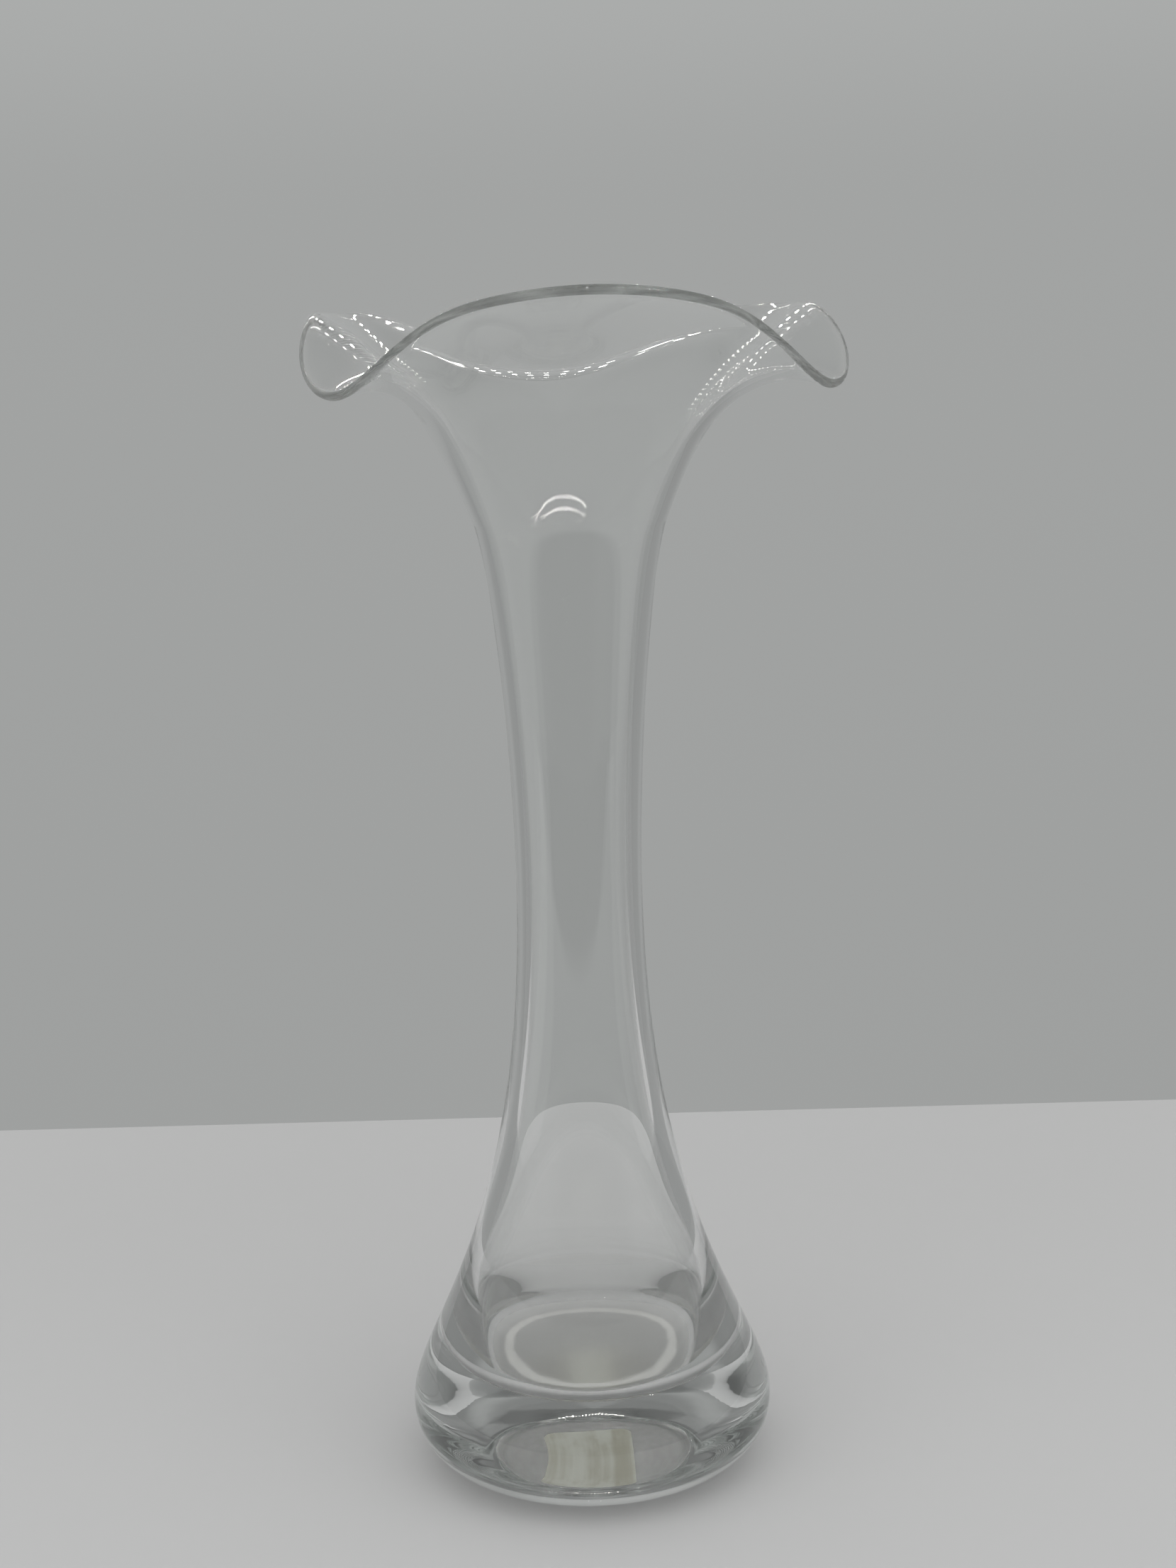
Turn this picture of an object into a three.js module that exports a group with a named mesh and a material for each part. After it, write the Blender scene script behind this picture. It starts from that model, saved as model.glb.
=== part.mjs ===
// A jack-in-the-pulpit vase of clear blown glass: a heavy base, a drawn stem and a lip folded
// into three lobes. Millimetres, +Z up. The origin is on the turning axis, at the level of the
// foot. The tall lobe, the hood, faces -Y, and the two ears lie to its left and right.
import * as THREE from 'three';

const { degToRad, lerp } = THREE.MathUtils;

// Outside of the turned body
const BELLY_RADIUS = 37.8;
const BELLY_HEIGHT = 14;
const FOOT_RADIUS = 17;
const BODY_LENGTH = 111;
const WAIST_RADIUS = 12.9;
const NECK_LENGTH = 73;
const THROAT_RADIUS = 19.3;
const THROAT_FLARE = degToRad(21);

// How far the outline runs on straight before it bends, from foot, belly, waist and throat
const FOOT_DRAW = 15.6;
const BELLY_DROP = 7.7;
const BELLY_RISE = 14;
const WAIST_DRAW_DOWN = 76;
const WAIST_DRAW_UP = 30;
const THROAT_DRAW = 8;

// Inside of the turned body
const FLOOR_THICKNESS = 20.5;
const CAVITY_CORNER_HEIGHT = 6;
const CAVITY_CORNER_WIDTH = 5.3;
const CAVITY_RISE = 26;
const BORE_DRAW_DOWN = 73;
const BODY_WALL = 8.6;
const STEM_WALL = 2.7;

// Where the zones of the glass meet, from the waist
const STEM_BELOW_WAIST = 50;
const STEM_ABOVE_WAIST = 40;

// Lip: its length along the glass, and how far it bends over by its rim
const LIP_LENGTH = 51.2;
const HOOD_EXTRA_LENGTH = 7.8;
const LIP_WALL = 1.8;
const RIM_BEAD = 1.9;
const HOOD_BEND = degToRad(72.4);
const EAR_BEND = degToRad(59.5);
const FOLD_BEND = degToRad(110.8);
const TONGUE_BEND = degToRad(98);

// Lip: where its lobes and folds lie round the axis, and how sharply they turn
const FOLD_AZIMUTH = degToRad(52.7);
const EAR_AZIMUTH = degToRad(124);
const TONGUE_AZIMUTH = Math.PI;
const FOLD_SHARPNESS = 4.4;
const TONGUE_SHARPNESS = 1.2;
const BEND_GROWTH = 1.54;
const BEAD_GROWTH = 8;

// Ground mark under the foot, and the blank label stuck in it
const LABEL_WIDTH = 11.2;
const LABEL_LENGTH = 21;
const LABEL_THICKNESS = 0.2;
const LABEL_CORNER = 1.5;
const LABEL_FORWARD = 1.3;
const LABEL_MARGIN = 0.3;
const GROUND_MARK_DEPTH = 1.2;
const GROUND_MARK_SLOPE = 1.3;

// How finely round shapes are faceted
const TURN_STEPS = 48;
const FOOT_STEPS = 10;
const CORNER_STEPS = 6;
const BASE_STEPS = 4;
const BODY_STEPS = 8;
const STEM_STEPS = 6;
const THROAT_STEPS = 4;
const LIP_STEPS = 12;
const LIP_SUBSTEPS = 8;
const RIM_STEPS = 4;
const HOOD_STEPS = 18;
const EAR_STEPS = 20;
const SEARCH_STEPS = 40;

const waistHeight = BELLY_HEIGHT + BODY_LENGTH;
const throatHeight = waistHeight + NECK_LENGTH;
const cavityTop = FLOOR_THICKNESS + CAVITY_CORNER_HEIGHT;
const bodyTop = waistHeight - STEM_BELOW_WAIST;
const stemTop = waistHeight + STEM_ABOVE_WAIST;
const labelReach = Math.hypot(LABEL_WIDTH / 2, LABEL_LENGTH / 2 + Math.abs(LABEL_FORWARD));
const groundMarkFlat = labelReach + LABEL_MARGIN;
const groundMarkRadius = groundMarkFlat + GROUND_MARK_SLOPE;

// One side of the wall, as radius against height: a stretch up to the waist and one from it.
// The lower stretch runs on straight for a rise above its foot and a draw below the waist.
function wallOutline(low, rise, draw, waistRadius, throatRadius) {
  const throat = new THREE.Vector2(throatRadius, throatHeight);
  const throatLead = new THREE.Vector2(Math.sin(THROAT_FLARE), Math.cos(THROAT_FLARE));
  const lower = new THREE.CubicBezierCurve(
    low,
    new THREE.Vector2(low.x, low.y + rise),
    new THREE.Vector2(waistRadius, waistHeight - draw),
    new THREE.Vector2(waistRadius, waistHeight),
  );
  const upper = new THREE.CubicBezierCurve(
    new THREE.Vector2(waistRadius, waistHeight),
    new THREE.Vector2(waistRadius, waistHeight + WAIST_DRAW_UP),
    throat.clone().addScaledVector(throatLead, -THROAT_DRAW),
    throat,
  );
  return { lower, upper };
}

// The outline's radius at a height, found by halving, because height grows along each stretch
function radiusAt(outline, height) {
  const stretch = height <= waistHeight ? outline.lower : outline.upper;
  let low = 0;
  let high = 1;
  for (let i = 0; i < SEARCH_STEPS; i += 1) {
    const middle = (low + high) / 2;
    if (stretch.getPoint(middle).y < height) low = middle;
    else high = middle;
  }
  return stretch.getPoint((low + high) / 2).x;
}

const belly = new THREE.Vector2(BELLY_RADIUS, BELLY_HEIGHT);
const outside = wallOutline(belly, BELLY_RISE, WAIST_DRAW_DOWN, WAIST_RADIUS, THROAT_RADIUS);
const cavityRadius = radiusAt(outside, cavityTop) - BODY_WALL;
const cavityRim = new THREE.Vector2(cavityRadius, cavityTop);
const boreRadius = WAIST_RADIUS - STEM_WALL;
const throatBore = THROAT_RADIUS - LIP_WALL / Math.cos(THROAT_FLARE);
const inside = wallOutline(cavityRim, CAVITY_RISE, BORE_DRAW_DOWN, boreRadius, throatBore);

// Points of an outline between two heights
function outlinePoints(outline, from, to, steps) {
  const points = [];
  for (let i = 0; i <= steps; i += 1) {
    const height = lerp(from, to, i / steps);
    points.push(new THREE.Vector2(radiusAt(outline, height), height));
  }
  return points;
}

// The rounded side of the foot, from the ring that it stands on up to the belly
function footPoints() {
  const curve = new THREE.CubicBezierCurve(
    new THREE.Vector2(FOOT_RADIUS, 0),
    new THREE.Vector2(FOOT_RADIUS + FOOT_DRAW, 0),
    new THREE.Vector2(BELLY_RADIUS, BELLY_HEIGHT - BELLY_DROP),
    belly,
  );
  return curve.getPoints(FOOT_STEPS);
}

// The rounded corner of the hollow, a quarter of an ellipse, from its side down to its floor
function cavityCornerPoints() {
  const curve = new THREE.EllipseCurve(
    cavityRadius - CAVITY_CORNER_WIDTH, cavityTop, CAVITY_CORNER_WIDTH, CAVITY_CORNER_HEIGHT,
    0, -Math.PI / 2, true,
  );
  return curve.getPoints(CORNER_STEPS);
}

// A solid turned about Z from a profile of radius and height
function turned(profile) {
  const geometry = new THREE.LatheGeometry(profile, TURN_STEPS);
  geometry.rotateX(Math.PI / 2);
  return geometry;
}

// The foot, the belly and the floor of the hollow, in one thick bowl of glass
function heavyBase() {
  const profile = [
    new THREE.Vector2(0, GROUND_MARK_DEPTH),
    new THREE.Vector2(groundMarkFlat, GROUND_MARK_DEPTH),
    new THREE.Vector2(groundMarkRadius, 0),
    ...footPoints(),
    ...outlinePoints(outside, BELLY_HEIGHT, cavityTop, BASE_STEPS).slice(1),
    ...cavityCornerPoints(),
    new THREE.Vector2(0, FLOOR_THICKNESS),
  ];
  return turned(profile);
}

// A stretch of the hollow body between two level cuts
function wallRing(from, to, steps) {
  const outer = outlinePoints(outside, from, to, steps);
  const inner = outlinePoints(inside, from, to, steps).reverse();
  return turned([...outer, ...inner, outer[0]]);
}

// 0 on a lobe, 1 on the fold beside it, and steeper near the fold as the sharpness grows
function foldShare(azimuth, lobeAzimuth, foldAzimuth, sharpness) {
  const share = (azimuth - lobeAzimuth) / (foldAzimuth - lobeAzimuth);
  return ((1 - Math.cos(Math.PI * share)) / 2) ** sharpness;
}

// How far the glass has bent over at the rim, from upright
function rimBend(azimuth) {
  const side = Math.abs(azimuth);
  if (side <= FOLD_AZIMUTH) {
    return lerp(HOOD_BEND, FOLD_BEND, foldShare(side, 0, FOLD_AZIMUTH, FOLD_SHARPNESS));
  }
  if (side <= EAR_AZIMUTH) {
    return lerp(EAR_BEND, FOLD_BEND, foldShare(side, EAR_AZIMUTH, FOLD_AZIMUTH, FOLD_SHARPNESS));
  }
  const share = foldShare(side, EAR_AZIMUTH, TONGUE_AZIMUTH, TONGUE_SHARPNESS);
  return lerp(EAR_BEND, TONGUE_BEND, share);
}

// The length of the lip along the glass, from the throat to the rim
function lipLength(azimuth) {
  const share = Math.min(Math.abs(azimuth) / FOLD_AZIMUTH, 1);
  return LIP_LENGTH + HOOD_EXTRA_LENGTH * (1 - foldShare(share, 0, 1, 1));
}

// The lip's section at one azimuth: out along the outer face, round the rim and back inside
function lipSection(azimuth) {
  const bend = rimBend(azimuth);
  const step = lipLength(azimuth) / (LIP_STEPS * LIP_SUBSTEPS);
  const point = new THREE.Vector2(THROAT_RADIUS, throatHeight);
  const outer = [point.clone()];
  const inner = [new THREE.Vector2(throatBore, throatHeight)];
  for (let i = 1; i <= LIP_STEPS; i += 1) {
    for (let j = 0; j < LIP_SUBSTEPS; j += 1) {
      const along = (i - 1 + (j + 0.5) / LIP_SUBSTEPS) / LIP_STEPS;
      const lean = lerp(THROAT_FLARE, bend, along ** BEND_GROWTH);
      point.x += step * Math.sin(lean);
      point.y += step * Math.cos(lean);
    }
    const along = i / LIP_STEPS;
    const lean = lerp(THROAT_FLARE, bend, along ** BEND_GROWTH);
    const wall = lerp(LIP_WALL, RIM_BEAD, along ** BEAD_GROWTH);
    outer.push(point.clone());
    inner.push(new THREE.Vector2(point.x - wall * Math.cos(lean), point.y + wall * Math.sin(lean)));
  }
  const outerEnd = outer[LIP_STEPS];
  const innerEnd = inner[LIP_STEPS];
  const centre = outerEnd.clone().lerp(innerEnd, 0.5);
  const across = outerEnd.clone().sub(centre);
  const rim = [];
  for (let i = 1; i < RIM_STEPS; i += 1) {
    rim.push(across.clone().rotateAround(new THREE.Vector2(), Math.PI * i / RIM_STEPS).add(centre));
  }
  return { outer, rim, inner };
}

// A point of the radius and height plane, turned to its azimuth: 0 is -Y, and +X lies past it
function turnedPoint(point, azimuth) {
  return [point.x * Math.sin(azimuth), -point.x * Math.cos(azimuth), point.y];
}

// One lobe of the lip, from fold to fold, closed by the two sections at its ends
function lobe(fromAzimuth, toAzimuth, steps) {
  const positions = [];
  const indices = [];
  const loop = 2 * (LIP_STEPS + 1) + RIM_STEPS - 1;
  for (let i = 0; i <= steps; i += 1) {
    const azimuth = lerp(fromAzimuth, toAzimuth, i / steps);
    const { outer, rim, inner } = lipSection(azimuth);
    for (const point of [...outer, ...rim, ...inner.reverse()]) {
      positions.push(...turnedPoint(point, azimuth));
    }
  }
  for (let i = 0; i < steps; i += 1) {
    for (let j = 0; j < loop; j += 1) {
      const here = i * loop + j;
      const next = i * loop + (j + 1) % loop;
      indices.push(here, here + loop, next + loop, here, next + loop, next);
    }
  }
  const last = steps * loop;
  for (let j = 0; 2 * j < loop - 1; j += 1) {
    const far = loop - 1 - j;
    if (far - 1 > j) {
      indices.push(j, j + 1, far, last + j, last + far, last + j + 1);
    }
    if (far - 1 > j + 1) {
      indices.push(j + 1, far - 1, far, last + j + 1, last + far, last + far - 1);
    }
  }
  const geometry = new THREE.BufferGeometry();
  geometry.setAttribute('position', new THREE.Float32BufferAttribute(positions, 3));
  geometry.setIndex(indices);
  geometry.computeVertexNormals();
  return geometry;
}

// A plain rectangle with rounded corners
function label() {
  const x = LABEL_WIDTH / 2;
  const y = LABEL_LENGTH / 2;
  const corner = LABEL_CORNER;
  const shape = new THREE.Shape();
  shape.moveTo(corner - x, -y);
  shape.lineTo(x - corner, -y);
  shape.absarc(x - corner, corner - y, corner, -Math.PI / 2, 0);
  shape.lineTo(x, y - corner);
  shape.absarc(x - corner, y - corner, corner, 0, Math.PI / 2);
  shape.lineTo(corner - x, y);
  shape.absarc(corner - x, y - corner, corner, Math.PI / 2, Math.PI);
  shape.lineTo(-x, corner - y);
  shape.absarc(corner - x, corner - y, corner, Math.PI, Math.PI * 1.5);
  const options = { depth: LABEL_THICKNESS, bevelEnabled: false, curveSegments: CORNER_STEPS };
  return new THREE.ExtrudeGeometry(shape, options);
}

const glass = new THREE.MeshStandardMaterial({
  color: 0xe4ebe8,
  roughness: 0.03,
  metalness: 0,
  transparent: true,
  opacity: 0.35,
});
const paper = new THREE.MeshStandardMaterial({ color: 0xcfcab8, roughness: 0.9, metalness: 0 });

const vase = new THREE.Group();

function addPiece(name, geometry, material) {
  const mesh = new THREE.Mesh(geometry, material.clone());
  mesh.name = name;
  vase.add(mesh);
  return mesh;
}

addPiece('heavy_base', heavyBase(), glass);
addPiece('lower_body', wallRing(cavityTop, bodyTop, BODY_STEPS), glass);
addPiece('stem', wallRing(bodyTop, stemTop, STEM_STEPS), glass);
addPiece('throat', wallRing(stemTop, throatHeight, THROAT_STEPS), glass);
addPiece('hood', lobe(-FOLD_AZIMUTH, FOLD_AZIMUTH, HOOD_STEPS), glass);
addPiece('right_ear', lobe(FOLD_AZIMUTH, TONGUE_AZIMUTH, EAR_STEPS), glass);
addPiece('left_ear', lobe(-TONGUE_AZIMUTH, -FOLD_AZIMUTH, EAR_STEPS), glass);
const baseLabel = addPiece('base_label', label(), paper);
baseLabel.position.set(0, -LABEL_FORWARD, GROUND_MARK_DEPTH - LABEL_THICKNESS);

export default vase;
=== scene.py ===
"""A jack-in-the-pulpit vase of clear blown glass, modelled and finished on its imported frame."""

import math

import bmesh
import bpy
from bpy.props import FloatProperty, FloatVectorProperty, IntProperty, PointerProperty
from mathutils import Matrix, Vector
from mathutils.geometry import interpolate_bezier


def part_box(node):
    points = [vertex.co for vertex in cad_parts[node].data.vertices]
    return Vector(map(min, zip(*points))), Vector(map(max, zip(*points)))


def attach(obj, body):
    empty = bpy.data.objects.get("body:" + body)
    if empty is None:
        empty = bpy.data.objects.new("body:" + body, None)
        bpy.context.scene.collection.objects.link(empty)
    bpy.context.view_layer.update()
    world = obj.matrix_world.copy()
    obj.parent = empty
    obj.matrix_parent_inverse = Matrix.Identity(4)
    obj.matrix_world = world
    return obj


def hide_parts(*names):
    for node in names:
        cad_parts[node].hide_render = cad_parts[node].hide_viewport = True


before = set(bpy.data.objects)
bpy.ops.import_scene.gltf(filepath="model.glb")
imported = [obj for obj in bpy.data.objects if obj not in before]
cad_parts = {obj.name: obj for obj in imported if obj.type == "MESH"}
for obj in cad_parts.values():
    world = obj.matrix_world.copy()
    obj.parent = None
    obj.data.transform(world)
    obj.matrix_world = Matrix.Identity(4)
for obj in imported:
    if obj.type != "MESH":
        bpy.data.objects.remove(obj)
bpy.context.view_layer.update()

bl_info = {
    "name": "Jack-in-the-pulpit vase",
    "version": (1, 0, 0),
    "blender": (4, 5, 0),
    "location": "View3D > Sidebar > Vase",
    "description": "Blows a clear glass vase with a folded lip and sets it on a plain stage",
    "category": "Object",
}

MM = 0.001
BASE_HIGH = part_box("heavy_base")[1]
BODY_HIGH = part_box("lower_body")[1]
THROAT_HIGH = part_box("throat")[1]
LABEL_LOW, LABEL_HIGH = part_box("base_label")
GLASS_NODES = ("heavy_base", "lower_body", "stem", "throat", "hood", "right_ear", "left_ear")

# The share of a radius at which a Bezier handle makes a quarter of an ellipse
QUARTER_HANDLE = 0.5523

# Points along each stretch of the vase's section
MARK_POINTS = 8
FOOT_POINTS = 24
BODY_POINTS = 48
NECK_POINTS = 32
RIM_POINTS = 7
BORE_POINTS = 40
CORNER_POINTS = 20
FLOOR_RINGS = (0.66, 0.33, 0.0)

# Depths past which a light path was turned, mirrored or scattered; a straight one has ray depth 1
TURNED = 1.5
MIRRORED = 0.5
SCATTERED = 0.5


def length(name, description, default, **more):
    """A length in metres that the sidebar shows in the scene's unit."""
    return FloatProperty(name=name, description=description, default=default, unit="LENGTH",
                         precision=5, **more)


def angle(name, description, degrees):
    """An angle, given in degrees and kept in radians."""
    return FloatProperty(name=name, description=description, default=math.radians(degrees),
                         subtype="ANGLE")


def factor(name, description, default):
    """A plain number."""
    return FloatProperty(name=name, description=description, default=default, precision=4)


def colour(name, description, default):
    """A linear colour."""
    return FloatVectorProperty(name=name, description=description, default=default,
                               subtype="COLOR", size=3, min=0.0, max=1.0)


class BodySettings(bpy.types.PropertyGroup):
    """Outline of the turned body, outside and inside."""

    belly_radius: length("Belly radius", "Widest radius of the base", BASE_HIGH.x)
    belly_height: length("Belly height", "Height of the widest ring", 14 * MM)
    foot_radius: length("Foot radius", "Radius of the ring that the vase stands on", 17 * MM)
    foot_draw: length("Foot draw", "Level run out from the foot", 15.6 * MM)
    belly_drop: length("Belly drop", "Straight run below the belly", 7.7 * MM)
    waist_radius: length("Waist radius", "Outer radius at the slimmest ring", 12.9 * MM)
    waist_height: length("Waist height", "Height of the slimmest ring", 125 * MM)
    throat_radius: length("Throat radius", "Outer radius where the lip starts", THROAT_HIGH.x)
    throat_height: length("Throat height", "Height where the lip starts", THROAT_HIGH.z)
    belly_rise: length("Belly rise", "Straight run above the belly", 14 * MM)
    waist_draw_down: length("Waist draw down", "Straight run below the waist", 76 * MM)
    waist_draw_up: length("Waist draw up", "Straight run above the waist", 30 * MM)
    throat_draw: length("Throat draw", "Straight run below the throat", 8 * MM)
    cavity_rise: length("Cavity rise", "Straight run above the hollow's corner", 26 * MM)
    bore_draw_down: length("Bore draw down", "Straight run of the bore below the waist", 73 * MM)
    floor_height: length("Floor height", "Thickness of the solid base", 20.5 * MM)
    cavity_top: length("Cavity top", "Height where the hollow's corner ends", BASE_HIGH.z)
    body_wall: length("Body wall", "Thickness of the glass above the base", 8.6 * MM)
    corner_width: length("Corner width", "Width of the hollow's rounded corner", 5.3 * MM)
    stem_wall: length("Stem wall", "Thickness of the glass at the waist", 2.7 * MM)
    mark_depth: length("Ground mark depth", "Depth of the ground mark under the foot", LABEL_HIGH.z)
    mark_flat: length("Ground mark flat", "Radius of the ground mark's level part", 13.36 * MM)
    mark_slope: length("Ground mark slope", "Width of the ground mark's edge", 1.3 * MM)


class LipSettings(bpy.types.PropertyGroup):
    """How the lip flares and folds."""

    size: length("Length", "Length of the lip along the glass", 51.2 * MM)
    hood_extra: length("Hood extra", "How much longer the hood is", 7.8 * MM)
    wall: length("Wall", "Thickness of the lip", 1.8 * MM)
    bead: length("Bead", "Thickness of the rim's bead", 1.9 * MM)
    flare: angle("Throat flare", "Lean of the glass where the lip starts", 21)
    hood_bend: angle("Hood bend", "Lean of the hood at its rim", 72.4)
    ear_bend: angle("Ear bend", "Lean of an ear at its rim", 59.5)
    fold_bend: angle("Fold bend", "Lean of a fold at its rim", 110.8)
    tongue_bend: angle("Tongue bend", "Lean of the back tongue at its rim", 98)
    fold_azimuth: angle("Fold azimuth", "Where the folds lie, from the hood", 52.7)
    ear_azimuth: angle("Ear azimuth", "Where the ears lie, from the hood", 124)
    fold_sharpness: factor("Fold sharpness", "How sharply the lobes turn into the folds", 4.4)
    tongue_sharpness: factor("Tongue sharpness", "How sharply the ears turn into the tongue", 1.2)
    bend_growth: factor("Bend growth", "How late along the lip the bend comes", 1.54)
    bead_growth: factor("Bead growth", "How late along the lip the bead swells", 8.0)
    stations: IntProperty(name="Stations", description="Rings of faces along the lip", default=40)


class FinishSettings(bpy.types.PropertyGroup):
    """Colours and finish of the glass and the label."""

    glass: colour("Glass", "Surface tint of the glass", (0.985, 0.99, 0.987))
    depth_tint: colour("Depth tint", "Colour that thick glass takes on", (0.81, 0.835, 0.82))
    depth_density: factor("Depth density", "How fast thick glass takes on its colour", 4.0)
    index: factor("Refractive index", "Index of refraction of the glass", 1.5)
    # Painted sheen: a share of pale matt colour mixed into the rim, standing in for reflected light on
    # the bead
    painted_rim_sheen: factor("Painted rim sheen", "How much pale matt colour is painted on the rim as sheen", 0.03)
    ground: colour("Ground mark", "Tint of the dusty ground mark", (0.5, 0.47, 0.38))
    ground_roughness: factor("Ground roughness", "Roughness of the ground mark", 0.42)
    floor_haze: factor("Floor haze", "Roughness of the hollow's floor", 0.55)
    # This pale matt colour is also painted on the rim as its sheen
    lime: colour("Lime", "Film that water left on the hollow's floor", (0.85, 0.85, 0.82))
    film_radius: length("Film radius", "Where the film of lime is thickest", 18.6 * MM)
    film_cover: factor("Film cover", "How much of the glass the film hides", 0.9)
    thin_cover: factor("Thin cover", "How much a thin film hides inside that ring", 0.3)
    paper: colour("Paper", "Faded paper of the label", (0.7, 0.71, 0.64))
    stain: colour("Stain", "Old glue that has come through the paper", (0.5, 0.49, 0.4))


class StageSettings(bpy.types.PropertyGroup):
    """Camera, floor and studio light."""

    distance: length("Distance", "Camera's distance from the vase's axis", 0.472)
    height: length("Height", "Camera's height above the foot", 0.230)
    turn: angle("Turn", "How far the camera stands to the hood's left", 5.6)
    pitch: angle("Pitch", "How far the camera looks down", 10.23)
    aim: angle("Aim", "How far the camera looks past the axis", 0.28)
    roll: angle("Roll", "How far the camera leans", -1.43)
    lens: FloatProperty(name="Lens", description="Focal length in millimetres", default=54.1)
    floor_back: length("Floor back", "Distance from the axis to the floor's back edge", 0.227)
    floor_front: length("Floor front", "Distance from the axis to the floor's front edge", 1.2)
    dark_front: length("Dark front", "Where the floor turns dark in what glass mirrors", 0.2)
    floor: colour("Floor", "Pale floor", (0.53, 0.532, 0.53))
    wall: colour("Backdrop", "Plain backdrop behind the floor", (0.345, 0.352, 0.348))
    light_level: factor("Light level", "Strength of the even light", 1.0)
    ceiling_shade: factor("Ceiling shade", "How dark the ceiling is in what glass shows", 0.4)
    side_light: factor("Side light", "How bright the sides are in what glass shows", 0.55)
    gap_shade: factor("Gap shade", "How dark it is beside the backdrop in what glass shows", 0.2)
    front_shade: factor("Front shade", "How dark the front is in what glass mirrors", 0.6)
    bounces: IntProperty(name="Bounces", description="How often light may turn inside the glass",
                         default=128)


class Wire:
    """A shader socket that Python's operators work on: each operator adds a Math node."""

    def __init__(self, graph, socket):
        self.graph = graph
        self.socket = socket

    def maths(self, operation, *values):
        return self.graph.node("ShaderNodeMath", {"operation": operation}, *values)["Value"]

    def __add__(self, other):
        return self.maths("ADD", self, other)

    def __radd__(self, other):
        return self.maths("ADD", other, self)

    def __sub__(self, other):
        return self.maths("SUBTRACT", self, other)

    def __rsub__(self, other):
        return self.maths("SUBTRACT", other, self)

    def __mul__(self, other):
        return self.maths("MULTIPLY", self, other)

    def __rmul__(self, other):
        return self.maths("MULTIPLY", other, self)

    def __truediv__(self, other):
        return self.maths("DIVIDE", self, other)

    def __pow__(self, other):
        return self.maths("POWER", self, other)

    def __neg__(self):
        return self.maths("MULTIPLY", self, -1.0)

    def __gt__(self, other):
        return self.maths("GREATER_THAN", self, other)

    def __lt__(self, other):
        return self.maths("LESS_THAN", self, other)


class Graph:
    """The node tree of one material or world."""

    def __init__(self, owner):
        owner.use_nodes = True
        self.tree = owner.node_tree
        self.tree.nodes.clear()

    def node(self, kind, settings=None, *values, **named):
        """Adds a node, sets it, then fills its sockets, in order or by name; returns its outputs."""
        node = self.tree.nodes.new(kind)
        for key, value in (settings or {}).items():
            setattr(node, key, value)
        sockets = list(zip([socket for socket in node.inputs if socket.enabled], values))
        sockets += [(node.inputs[name.replace("_", " ")], value) for name, value in named.items()]
        for socket, value in sockets:
            if isinstance(value, Wire):
                self.tree.links.new(value.socket, socket)
            elif isinstance(value, (tuple, list)) and len(socket.default_value) == len(value) + 1:
                socket.default_value = (*value, 1.0)
            else:
                socket.default_value = value
        return {socket.name: Wire(self, socket) for socket in node.outputs if socket.enabled}

    def step(self, value, low, high):
        """0 below low, 1 above high, and smooth between them."""
        kind = {"interpolation_type": "SMOOTHSTEP"}
        return self.node("ShaderNodeMapRange", kind, Value=value, From_Min=low, From_Max=high)["Result"]

    def blend(self, share, first, second):
        """A colour between two colours."""
        return self.node("ShaderNodeMix", {"data_type": "RGBA"}, share, first, second)["Result"]

    def place(self, output="Object"):
        """The coordinates, whole and as x, y and z."""
        where = self.node("ShaderNodeTexCoord")[output]
        parts = self.node("ShaderNodeSeparateXYZ", None, where)
        return where, parts["X"], parts["Y"], parts["Z"]

    def noise(self, where, scale, detail=2.0, stretch=None):
        """Noise between 0 and 1, at a scale per metre."""
        if stretch:
            kind = {"operation": "MULTIPLY"}
            where = self.node("ShaderNodeVectorMath", kind, where, stretch)["Vector"]
        return self.node("ShaderNodeTexNoise", None, Vector=where, Scale=scale, Detail=detail)["Fac"]


def new_material(name):
    material = bpy.data.materials.new(name)
    return material, Graph(material)


def ground_share(graph, body, radius, z, wobble):
    """1 on the ground mark, as far as a ragged edge just past its slope."""
    edge = body.mark_flat + body.mark_slope
    ragged, inner, outer, skin = 2.4 * MM, 0.6 * MM, 1.6 * MM, 0.3 * MM
    level = z < body.mark_depth + skin
    return graph.step(radius + wobble * ragged, edge + outer, edge + inner) * level


def film_shares(graph, finish, body, radius, z, wobble):
    """1 on the hollow's floor, and 1 on the ragged ring where the film of lime is thickest."""
    below, above, ragged = 0.5 * MM, 1.5 * MM, 1.5 * MM
    floor = (z < body.floor_height + above) * (z > body.floor_height - below)
    floor = floor * (radius < BODY_HIGH.x - body.body_wall)
    ring = radius + wobble * ragged - finish.film_radius
    swell = graph.step(ring, -1.3 * MM, 0.2 * MM)
    fall = graph.step(ring, 2.5 * MM, 1.2 * MM)
    return floor, floor * swell * fall


def drawn_relief(graph, body, where, x, radius, z):
    """Streaks drawn down the stem, and ripples round the ears."""
    drawn_out, streak_height = (1.0, 1.0, 0.03), 0.3
    ring_count, sway, ripple_height = 900.0, 5.0, 0.08
    streaks = graph.noise(where, 420.0, 2.0, drawn_out)
    blown = graph.step(z, body.waist_height + 10 * MM, body.throat_height - 10 * MM)
    lip = graph.step(z, body.throat_height, body.throat_height + 14 * MM)
    ears = lip * graph.step(radius, 28 * MM, 40 * MM) * graph.step((x * x) ** 0.5, 20 * MM, 34 * MM)
    rings = graph.noise(where, 70.0, 1.0) * sway + radius * ring_count
    ripple = graph.node("ShaderNodeMath", {"operation": "SINE"}, rings)["Value"]
    return streaks * (1.0 - blown) * streak_height + ears * ripple * ripple_height


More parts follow.
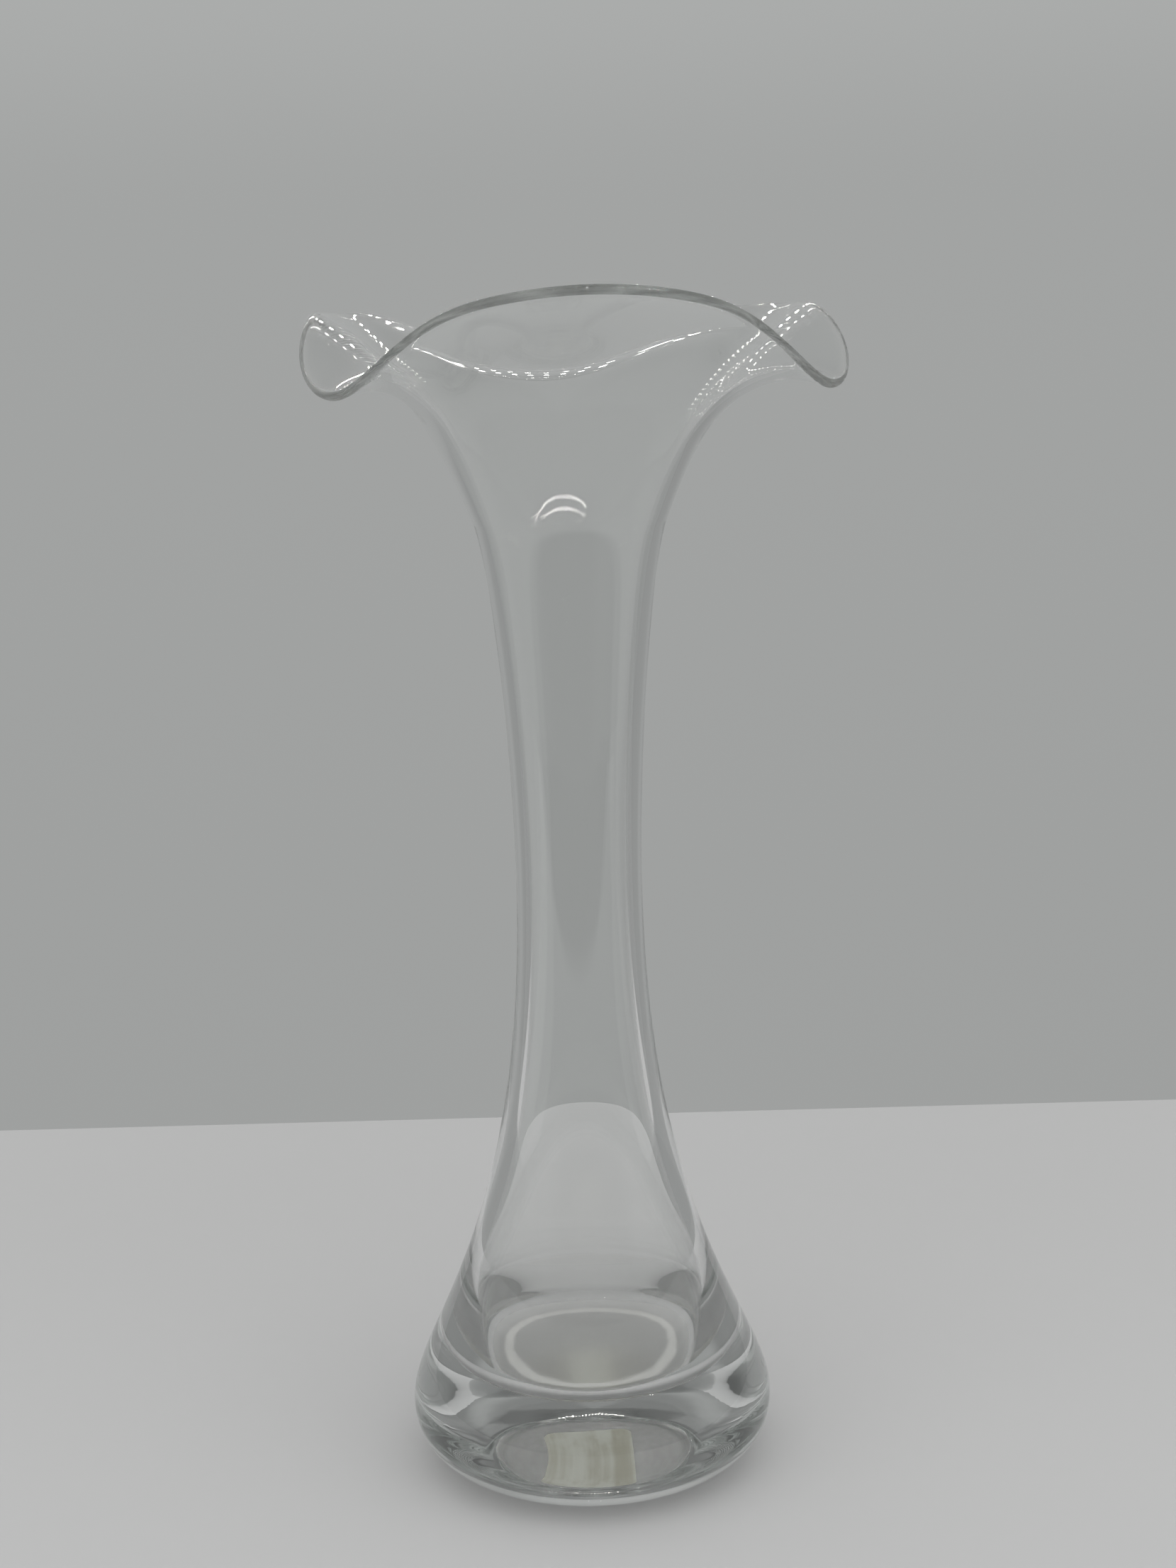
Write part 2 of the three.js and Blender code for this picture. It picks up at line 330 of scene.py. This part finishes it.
def glass_material(finish, body):
    """Clear glass: streaked, with a frosted ground mark, a painted sheen on the rim and lime on the
    hollow's floor.
    """
    material, graph = new_material("clear_glass")
    thin_dust, thick_dust, dust_grain, grain_height, lime_roughness = 0.55, 0.45, 0.2, 2.0, 0.7
    where, x, y, z = graph.place()
    radius = (x * x + y * y) ** 0.5
    rim = graph.node("ShaderNodeAttribute", {"attribute_name": "rim"})["Fac"]
    wobble = graph.noise(where, 260.0) - 0.5
    dust = graph.noise(where, 900.0, 4.0)
    ground = ground_share(graph, body, radius, z, wobble)
    floor, film = film_shares(graph, finish, body, radius, z, wobble)
    dusty = ground * (thin_dust + thick_dust * dust)
    tint = graph.blend(dusty, tuple(finish.glass), tuple(finish.ground))
    roughness = ground * (finish.ground_roughness + dust_grain * dust) + floor * finish.floor_haze
    relief = drawn_relief(graph, body, where, x, radius, z) + ground * dust * grain_height
    bump = graph.node("ShaderNodeBump", None, Strength=0.12, Distance=0.05 * MM, Height=relief)["Normal"]
    clear = graph.node("ShaderNodeBsdfPrincipled", None, Base_Color=tint, Roughness=roughness,
                       Normal=bump, IOR=finish.index, Transmission_Weight=1.0)["BSDF"]
    # One pale matt shader serves as the lime film and as the painted sheen on the rim
    lime = graph.node("ShaderNodeBsdfPrincipled", None, Base_Color=tuple(finish.lime),
                      Roughness=lime_roughness)["BSDF"]
    cover = floor * finish.thin_cover + film * (finish.film_cover - finish.thin_cover)
    # Painted sheen: the rim gets a share of the pale matt colour in place of reflected light
    cover = cover + rim * finish.painted_rim_sheen
    surface = graph.node("ShaderNodeMixShader", None, cover, clear, lime)["Shader"]
    depth = graph.node("ShaderNodeVolumeAbsorption", None, tuple(finish.depth_tint),
                       finish.depth_density)["Volume"]
    graph.node("ShaderNodeOutputMaterial", None, Surface=surface, Volume=depth)
    return material


def paper_material(finish):
    """Faded label paper with glue stains in streaks along its length."""
    material, graph = new_material("label_paper")
    where = graph.place()[0]
    streaks = graph.noise(where, 520.0, 3.0, (1.0, 0.12, 1.0))
    blots = graph.noise(where, 240.0, 4.0)
    fibre = graph.noise(where, 5200.0, 2.0)
    stain = graph.step(streaks * 0.6 + blots * 0.5, 0.46, 0.72)
    tone = graph.blend(stain, tuple(finish.paper), tuple(finish.stain))
    bump = graph.node("ShaderNodeBump", None, Strength=0.3, Distance=0.03 * MM, Height=fibre)["Normal"]
    surface = graph.node("ShaderNodeBsdfPrincipled", None, Base_Color=tone, Roughness=0.8 + 0.15 * fibre,
                         Normal=bump)["BSDF"]
    graph.node("ShaderNodeOutputMaterial", None, Surface=surface)
    return material


def new_object(name, mesh, material):
    """An object at the origin, from a bmesh that already holds its place."""
    data = bpy.data.meshes.new(name)
    mesh.to_mesh(data)
    mesh.free()
    data.materials.append(material)
    piece = bpy.data.objects.new(name, data)
    bpy.context.scene.collection.objects.link(piece)
    return piece


def point(radius, height):
    return Vector((radius, 0.0, height))


def corner(start, end, handle):
    """A quarter of an ellipse; handle is the corner of the box that holds it."""
    return start, start.lerp(handle, QUARTER_HANDLE), end.lerp(handle, QUARTER_HANDLE), end


def wall_curves(body, flare, low, rise, draw, waist, throat):
    """The two stretches of one side of the wall, from the belly to the waist and on to the throat."""
    lead = Vector((math.sin(flare), 0.0, math.cos(flare)))
    middle = point(waist, body.waist_height)
    up = Vector((0.0, 0.0, 1.0))
    lower = (low, low + rise * up, middle - draw * up, middle)
    upper = (middle, middle + body.waist_draw_up * up, throat - body.throat_draw * lead, throat)
    return lower, upper


def vase_outline(body, lip):
    """Half of the section from the foot round to the hollow's floor, with the lip a straight collar."""
    foot = point(body.foot_radius, 0.0)
    mark = body.mark_flat + body.mark_slope
    ease = 1.0 * MM
    belly = point(body.belly_radius, body.belly_height)
    throat = point(body.throat_radius, body.throat_height)
    bore = point(body.throat_radius - lip.wall / math.cos(lip.flare), body.throat_height)
    cavity = point(BODY_HIGH.x - body.body_wall, body.cavity_top)
    floor = point(cavity.x - body.corner_width, body.floor_height)
    rim = throat + point(0.0, lip.size)
    half = lip.wall / 2
    crest = rim + point(-half, half)
    collar = (throat, throat.lerp(rim, 1 / 3), throat.lerp(rim, 2 / 3), rim)
    outside = wall_curves(body, lip.flare, belly, body.belly_rise, body.waist_draw_down,
                          body.waist_radius, throat)
    inside = wall_curves(body, lip.flare, cavity, body.cavity_rise, body.bore_draw_down,
                         body.waist_radius - body.stem_wall, bore)
    line = [point(0.0, body.mark_depth), point(body.mark_flat / 2, body.mark_depth)]
    curves = [
        ((point(body.mark_flat - ease, body.mark_depth), point(body.mark_flat, body.mark_depth),
          point(mark, 0.0), point(mark + ease, 0.0)), MARK_POINTS),
        ((foot, foot + point(body.foot_draw, 0.0), belly - point(0.0, body.belly_drop), belly),
         FOOT_POINTS),
        (outside[0], BODY_POINTS),
        (outside[1], NECK_POINTS),
        (collar, lip.stations + 1),
        (corner(rim, crest, rim + point(0.0, half)), RIM_POINTS),
        (corner(crest, rim + point(-lip.wall, 0.0), rim + point(-lip.wall, half)), RIM_POINTS),
    ]
    for curve, count in curves:
        line += interpolate_bezier(*curve, count)
    inner_collar = interpolate_bezier(*reversed(collar), lip.stations + 1)[:-1]
    line += [place + point(-lip.wall, 0.0) for place in inner_collar]
    line += interpolate_bezier(*reversed(inside[1]), NECK_POINTS)
    line += interpolate_bezier(*reversed(inside[0]), BORE_POINTS)
    line += interpolate_bezier(*corner(cavity, floor, point(cavity.x, body.floor_height)), CORNER_POINTS)
    line += [point(floor.x * share, body.floor_height) for share in FLOOR_RINGS]
    return line


def fold_share(azimuth, lobe, fold, sharpness):
    """0 on a lobe and 1 on the fold beside it, and steeper near the fold as the sharpness grows."""
    share = (azimuth - lobe) / (fold - lobe)
    return ((1 - math.cos(math.pi * share)) / 2) ** sharpness


def rim_bend(lip, side):
    """How far the glass leans at the rim, by its angle from the hood."""
    if side <= lip.fold_azimuth:
        share = fold_share(side, 0.0, lip.fold_azimuth, lip.fold_sharpness)
        return lip.hood_bend + (lip.fold_bend - lip.hood_bend) * share
    if side <= lip.ear_azimuth:
        share = fold_share(side, lip.ear_azimuth, lip.fold_azimuth, lip.fold_sharpness)
        return lip.ear_bend + (lip.fold_bend - lip.ear_bend) * share
    share = fold_share(side, lip.ear_azimuth, math.pi, lip.tongue_sharpness)
    return lip.ear_bend + (lip.tongue_bend - lip.ear_bend) * share


def lip_curve(body, lip, side, substeps=4):
    """The lip's outer face at one side: place and lean at each station from the throat to the rim."""
    bend = rim_bend(lip, side)
    hood = 1 - fold_share(min(side / lip.fold_azimuth, 1.0), 0.0, 1.0, 1.0)
    size = lip.size + lip.hood_extra * hood
    count = lip.stations * substeps
    place = point(body.throat_radius, body.throat_height)
    curve = [(place.copy(), lip.flare)]
    for i in range(count):
        lean = lip.flare + (bend - lip.flare) * ((i + 0.5) / count) ** lip.bend_growth
        place += Vector((math.sin(lean), 0.0, math.cos(lean))) * (size / count)
        if (i + 1) % substeps == 0:
            end = lip.flare + (bend - lip.flare) * ((i + 1) / count) ** lip.bend_growth
            curve.append((place.copy(), end))
    return curve


def flare_lip(mesh, body, lip, turns):
    """Leans the straight collar outwards, further at the folds than on the lobes, and marks the rim."""
    curves = {}
    half_station = 0.5 / lip.stations
    rim = mesh.verts.layers.float.new("rim")
    for vert in mesh.verts:
        along = (vert.co.z - body.throat_height) / lip.size
        if along < half_station:
            continue
        azimuth = math.atan2(vert.co.x, -vert.co.y)
        turn = round(azimuth / (2 * math.pi) * turns)
        if turn not in curves:
            curves[turn] = lip_curve(body, lip, abs(azimuth))
        place, lean = curves[turn][min(round(along * lip.stations), lip.stations)]
        share = min(along, 1.0)
        vert[rim] = float(along > 1 - half_station)
        wall = lip.wall + (lip.bead - lip.wall) * share ** lip.bead_growth
        depth = (body.throat_radius - vert.co.xy.length) / lip.wall * wall
        past = max(along - 1.0, 0.0) * lip.size / lip.wall * wall
        out = place.x - depth * math.cos(lean) + past * math.sin(lean)
        vert.co.z = place.z + depth * math.sin(lean) + past * math.cos(lean)
        vert.co.x = out * math.sin(azimuth)
        vert.co.y = -out * math.cos(azimuth)


def rounded_card(low, high, rounding):
    """A thin card with rounded upright edges, as a bmesh."""
    mesh = bmesh.new()
    bmesh.ops.create_cube(mesh, size=1.0)
    bmesh.ops.scale(mesh, vec=high - low, verts=mesh.verts)
    bmesh.ops.translate(mesh, vec=(low + high) / 2, verts=mesh.verts)
    upright = [e for e in mesh.edges if abs(e.verts[0].co.z - e.verts[1].co.z) > (high.z - low.z) / 2]
    bmesh.ops.bevel(mesh, geom=upright, offset=rounding, affect="EDGES", segments=6, profile=0.5,
                    material=-1)
    return mesh


class VASE_OT_blow_glass(bpy.types.Operator):
    """Turns the body, flares and folds the lip, and finishes the glass"""

    bl_idname = "vase.blow_glass"
    bl_label = "Blow the glass"

    turns = 288

    def execute(self, context):
        settings = context.scene.vase
        body, lip = settings.body, settings.lip
        mesh = bmesh.new()
        verts = [mesh.verts.new(place) for place in vase_outline(body, lip)]
        edges = [mesh.edges.new(pair) for pair in zip(verts, verts[1:])]
        bmesh.ops.spin(mesh, geom=verts + edges, cent=Vector(), axis=Vector((0.0, 0.0, 1.0)),
                       angle=2 * math.pi, steps=self.turns, use_merge=True)
        bmesh.ops.remove_doubles(mesh, verts=mesh.verts, dist=0.001 * MM)
        bmesh.ops.recalc_face_normals(mesh, faces=mesh.faces)
        flare_lip(mesh, body, lip, self.turns)
        for face in mesh.faces:
            face.smooth = True
        piece = new_object("vase_glass", mesh, glass_material(settings.finish, body))
        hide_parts(*GLASS_NODES)
        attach(piece, "root")
        return {"FINISHED"}


class VASE_OT_stick_label(bpy.types.Operator):
    """Sticks the blank paper label into the ground mark"""

    bl_idname = "vase.stick_label"
    bl_label = "Stick the label"

    press = 0.03 * MM
    rounding = 1.5 * MM

    def execute(self, context):
        high = LABEL_HIGH + Vector((0.0, 0.0, self.press))
        mesh = rounded_card(LABEL_LOW, high, self.rounding)
        piece = new_object("blank_label", mesh, paper_material(context.scene.vase.finish))
        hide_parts("base_label")
        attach(piece, "root")
        return {"FINISHED"}


def backdrop_level(graph, stage, path, x, y, z):
    """How bright the backdrop is each way; glass shows darker sides, and mirrors a darker front."""
    never_zero, rise, glow = 0.0001, 0.07, 0.12
    ahead = -y / (x * x + y * y + never_zero) ** 0.5
    inner = path["Ray Depth"] > TURNED
    mirrored = path["Glossy Depth"] > MIRRORED
    level = 1.0 + graph.step(z, -0.35, 0.25) * rise + graph.step(z, 0.06, 0.16) * glow
    level = level - graph.step(z, 0.3, 0.7) * stage.ceiling_shade
    sides = graph.step(ahead, -0.4, -0.2) * inner
    gaps = graph.step(ahead, -0.985, -0.88) * (inner - sides)
    front = graph.step(ahead, 0.6, 0.85) * (1.0 - graph.step(z, 0.5, 0.75)) * mirrored
    level = level * (1.0 + (stage.side_light - 1.0) * sides - stage.gap_shade * gaps)
    return level * (1.0 - stage.front_shade * front)


def studio_world(stage):
    """Even light from all round, a little more from the front, behind a plain pale backdrop."""
    world = bpy.data.worlds.new("studio")
    bpy.context.scene.world = world
    graph = Graph(world)
    x, y, z = graph.place("Generated")[1:]
    path = graph.node("ShaderNodeLightPath")
    seen = path["Is Camera Ray"] + path["Is Glossy Ray"] + path["Is Transmission Ray"]
    seen = (seen > 0.5) * (path["Diffuse Depth"] < SCATTERED)
    level = backdrop_level(graph, stage, path, x, y, z)
    backdrop = graph.node("ShaderNodeBackground", None, tuple(stage.wall), level)["Background"]
    even, overhead, frontal, white = 0.37, 0.49, 0.98, (1.0, 1.0, 1.0)
    around = even + graph.step(z, 0.25, 0.9) * overhead + graph.step(-y, -0.2, 0.8) * frontal
    light = graph.node("ShaderNodeBackground", None, white, around * stage.light_level)["Background"]
    mixed = graph.node("ShaderNodeMixShader", None, seen, light, backdrop)["Shader"]
    graph.node("ShaderNodeOutputWorld", None, Surface=mixed)


def floor_material(stage):
    """Pale matt floor with painted light falloff, a little lighter towards the camera, and a dark front
    in what glass mirrors.
    """
    material, graph = new_material("pale_floor")
    where, _, y, _ = graph.place()
    near_share, mottle_share, depth = 0.9, 0.2, 0.9
    # Painted light falloff: the floor's colour is darker away from the camera and lighter towards it
    near = graph.step(-y, -0.25, 0.15)
    mottle = graph.noise(where, 9.0, 3.0)
    tone = tuple(stage.floor)
    painted_far_shade = tuple(depth * part for part in tone)
    shade = graph.blend(near * near_share + mottle * mottle_share, painted_far_shade, tone)
    mirrored = graph.node("ShaderNodeLightPath")["Glossy Depth"] > MIRRORED
    fade, black = 0.06, (0.02, 0.02, 0.02)
    dark = graph.step(-y, stage.dark_front, stage.dark_front + fade) * mirrored
    shade = graph.blend(dark, shade, black)
    surface = graph.node("ShaderNodeBsdfPrincipled", None, Base_Color=shade, Roughness=0.6,
                         Specular_IOR_Level=0.0)["BSDF"]
    graph.node("ShaderNodeOutputMaterial", None, Surface=surface)
    return material


def strip_material():
    """Small lamps that glass reflects, and that light nothing else."""
    material, graph = new_material("strip_lamps")
    strength, warm_white = 220.0, (1.0, 0.98, 0.93)
    path = graph.node("ShaderNodeLightPath")
    level = (1.0 - (path["Diffuse Depth"] > SCATTERED)) * strength
    light = graph.node("ShaderNodeEmission", None, warm_white, level)["Emission"]
    graph.node("ShaderNodeOutputMaterial", None, Surface=light)
    material.cycles.emission_sampling = "NONE"
    return material


def strip_lamps(name, centre, rows, material, count=34, pitch=14 * MM, gap=22 * MM, size=4 * MM):
    """Staggered rows of small square lamps along X, facing the vase."""
    mesh = bmesh.new()
    target = Vector((0.0, 0.0, 0.2))
    facing = (target - centre).to_track_quat("Z", "X").to_matrix().to_4x4()
    for row in rows:
        for i in range(count):
            along = (i - (count - 1) / 2 + row / 2) * pitch
            place = Matrix.Translation(centre + Vector((along, 0.0, 0.0))) @ facing
            shift = Matrix.Translation((row * gap, 0.0, 0.0))
            bmesh.ops.create_grid(mesh, x_segments=1, y_segments=1, size=size / 2, matrix=place @ shift)
    strip = new_object(name, mesh, material)
    strip.visible_camera = False
    strip.visible_diffuse = False
    strip.visible_shadow = False


class VASE_OT_set_stage(bpy.types.Operator):
    """Lays the floor, hangs the lamps and sets the camera"""

    bl_idname = "vase.set_stage"
    bl_label = "Set the stage"

    floor_reach = 1.6
    floor_drop = 0.15 * MM
    highlight_limit = 30.0
    strips = {
        "front_strip": ((0.08, -0.272, 0.452), (-0.5, 0.5)),
        "back_strip": ((0.0, 0.4, 0.42), (0.0,)),
    }

    def execute(self, context):
        stage = context.scene.vase.stage
        context.scene.view_settings.view_transform = "Standard"
        self.set_light_paths(context.scene.cycles, stage)
        self.lay_floor(stage)
        self.hang_lamps()
        studio_world(stage)
        self.set_camera(context, stage)
        return {"FINISHED"}

    def lay_floor(self, stage):
        """A level floor whose back edge lies square to the camera."""
        mesh = bmesh.new()
        bmesh.ops.create_grid(mesh, x_segments=1, y_segments=1, size=0.5)
        depth = stage.floor_back + stage.floor_front
        middle = (stage.floor_back - stage.floor_front) / 2
        bmesh.ops.scale(mesh, vec=(2 * self.floor_reach, depth, 1.0), verts=mesh.verts)
        bmesh.ops.translate(mesh, vec=(0.0, middle, -self.floor_drop), verts=mesh.verts)
        bmesh.ops.rotate(mesh, matrix=Matrix.Rotation(-stage.turn, 3, "Z"), verts=mesh.verts)
        new_object("floor", mesh, floor_material(stage))

    def set_light_paths(self, cycles, stage):
        """Lets light run along inside the glass, and limits stray highlights."""
        cycles.max_bounces = stage.bounces
        cycles.glossy_bounces = stage.bounces
        cycles.transmission_bounces = stage.bounces
        cycles.sample_clamp_indirect = self.highlight_limit

    def hang_lamps(self):
        material = strip_material()
        for name, (centre, rows) in self.strips.items():
            strip_lamps(name, Vector(centre), rows, material)

    def set_camera(self, context, stage):
        """Stands the camera before the hood, a little to one side, looking down."""
        data = bpy.data.cameras.new("camera")
        data.sensor_width = 36.0
        data.lens = stage.lens
        camera = bpy.data.objects.new("camera", data)
        around = Matrix.Rotation(-stage.turn, 4, "Z")
        stand = Matrix.Translation((0.0, -stage.distance, stage.height))
        aim = Matrix.Rotation(-stage.aim, 4, "Z") @ Matrix.Rotation(math.pi / 2 - stage.pitch, 4, "X")
        camera.matrix_world = around @ stand @ aim @ Matrix.Rotation(stage.roll, 4, "Z")
        context.scene.collection.objects.link(camera)
        context.scene.camera = camera


class VaseSettings(bpy.types.PropertyGroup):
    """All of the vase's settings."""

    body: PointerProperty(type=BodySettings)
    lip: PointerProperty(type=LipSettings)
    finish: PointerProperty(type=FinishSettings)
    stage: PointerProperty(type=StageSettings)


class VASE_PT_sidebar(bpy.types.Panel):
    """The vase's settings and steps"""

    bl_label = "Jack-in-the-pulpit vase"
    bl_space_type = "VIEW_3D"
    bl_region_type = "UI"
    bl_category = "Vase"

    def draw(self, context):
        settings = context.scene.vase
        for name, step in (("body", "vase.blow_glass"), ("lip", None), ("finish", "vase.stick_label"),
                           ("stage", "vase.set_stage")):
            group = getattr(settings, name)
            box = self.layout.box()
            box.label(text=name.capitalize())
            for key in group.bl_rna.properties.keys():
                if key not in ("rna_type", "name"):
                    box.prop(group, key)
            if step:
                box.operator(step)


CLASSES = (BodySettings, LipSettings, FinishSettings, StageSettings, VaseSettings,
           VASE_OT_blow_glass, VASE_OT_stick_label, VASE_OT_set_stage, VASE_PT_sidebar)


def register():
    for item in CLASSES:
        bpy.utils.register_class(item)
    bpy.types.Scene.vase = PointerProperty(type=VaseSettings)


def unregister():
    del bpy.types.Scene.vase
    for item in reversed(CLASSES):
        bpy.utils.unregister_class(item)


def main():
    register()
    bpy.ops.vase.set_stage()
    bpy.ops.vase.blow_glass()
    bpy.ops.vase.stick_label()


if __name__ == "__main__":
    main()
